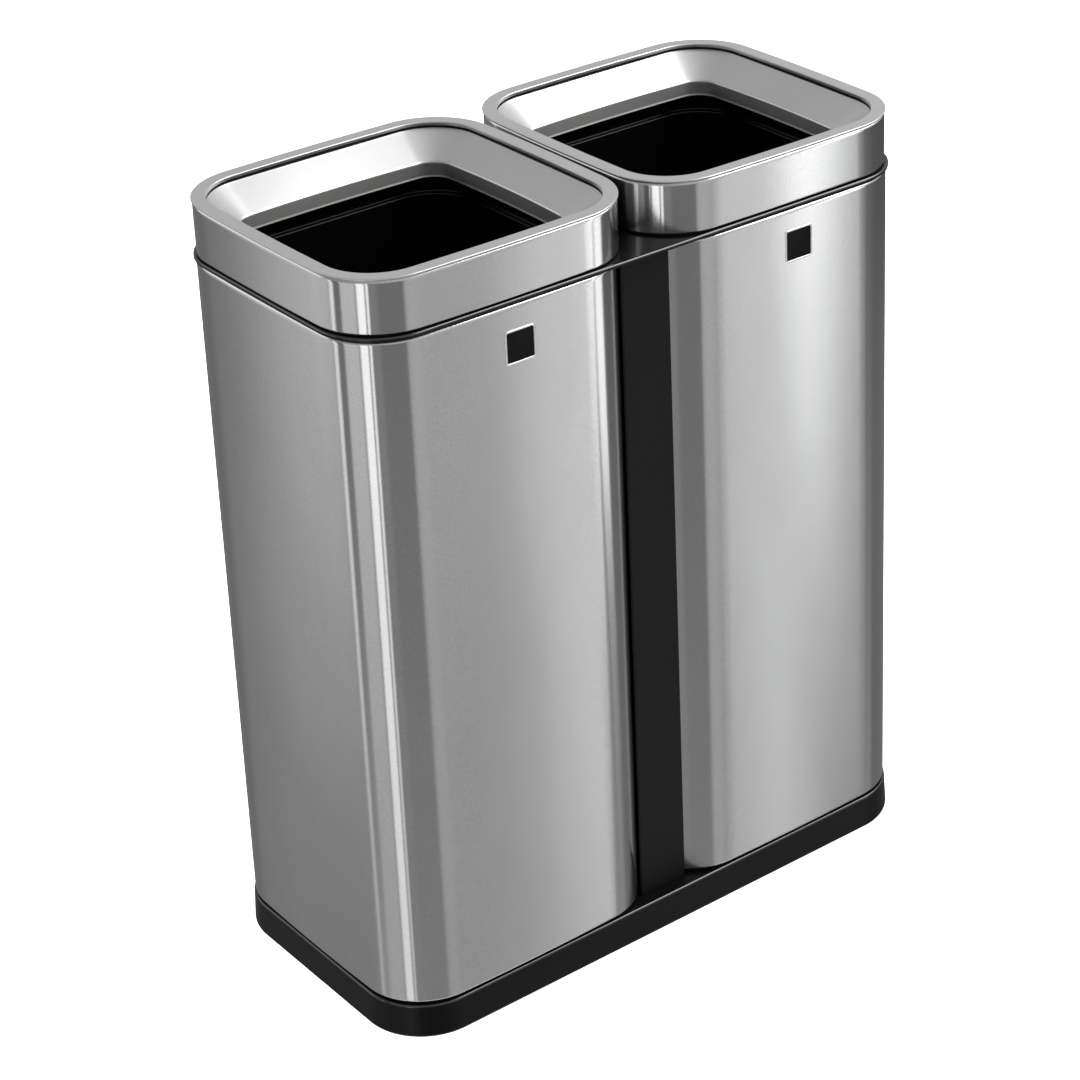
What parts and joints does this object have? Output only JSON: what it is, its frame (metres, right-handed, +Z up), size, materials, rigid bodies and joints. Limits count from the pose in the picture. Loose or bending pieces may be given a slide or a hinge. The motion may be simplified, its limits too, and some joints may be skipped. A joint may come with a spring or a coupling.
{
  "type": "double recycling bin",
  "caption": "Double recycling bin: brushed steel bodies with rounded corners on a black base and deck, each with a lift-off steel collar and a lift-out liner.",
  "frame": {"origin": "on the floor, under the middle of the base", "axes": "+Z up; X along the two bins, left bin at -X; the front with the badge plates faces -Y"},
  "size_m": [0.5888, 0.2898, 0.7182],
  "materials": {
    "brushed_steel": "fine brushed stainless steel",
    "satin_steel": "satin stainless steel",
    "black_moulding": "satin black moulding",
    "black_panel": "matt black",
    "liner_plastic": "smooth black moulding",
    "rubber": "matt black rubber",
    "zinc_steel": "bright zinc plate",
    "badge_rim": "bright bevelled rim",
    "badge_face": "plain black, blank"
  },
  "bodies": {
    "root": {"base_tray": "black_moulding", "foot_front_left": "rubber", "foot_front_right": "rubber", "foot_rear_left": "rubber", "foot_rear_right": "rubber", "foot_screw_front_left": "zinc_steel", "foot_screw_front_right": "zinc_steel", "foot_screw_rear_left": "zinc_steel", "foot_screw_rear_right": "zinc_steel", "tie_rod_front": "zinc_steel", "tie_washer_front": "zinc_steel", "tie_nut_front": "zinc_steel", "centre_panel_front": "black_panel", "tie_rod_rear": "zinc_steel", "tie_washer_rear": "zinc_steel", "tie_nut_rear": "zinc_steel", "centre_panel_rear": "black_panel", "top_deck": "black_moulding", "body_shell_left": "brushed_steel", "badge_frame_left": "badge_rim", "badge_inlay_left": "badge_face", "body_shell_right": "brushed_steel", "badge_frame_right": "badge_rim", "badge_inlay_right": "badge_face"},
    "collar_left": {"collar_skin_left": "brushed_steel", "collar_carrier_left": "black_moulding", "brim_ring_left": "satin_steel", "funnel_left": "satin_steel"},
    "liner_left": {"liner_left": "liner_plastic"},
    "collar_right": {"collar_skin_right": "brushed_steel", "collar_carrier_right": "black_moulding", "brim_ring_right": "satin_steel", "funnel_right": "satin_steel"},
    "liner_right": {"liner_right": "liner_plastic"}
  },
  "joints": [
    {"name": "collar_left_lift", "type": "slide", "parent": "root", "child": "collar_left", "axis": [0, 0, 1], "range_m": [0, 0.76]},
    {"name": "liner_left_lift", "type": "slide", "parent": "root", "child": "liner_left", "axis": [0, 0, 1], "range_m": [0, 0.647]},
    {"name": "collar_right_lift", "type": "slide", "parent": "root", "child": "collar_right", "axis": [0, 0, 1], "range_m": [0, 0.76]},
    {"name": "liner_right_lift", "type": "slide", "parent": "root", "child": "liner_right", "axis": [0, 0, 1], "range_m": [0, 0.647]}
  ],
  "couplings": [
    {"joint": "liner_left_lift", "follows": "collar_left_lift", "ratio": 0.85},
    {"joint": "liner_right_lift", "follows": "collar_right_lift", "ratio": 0.85}
  ]
}
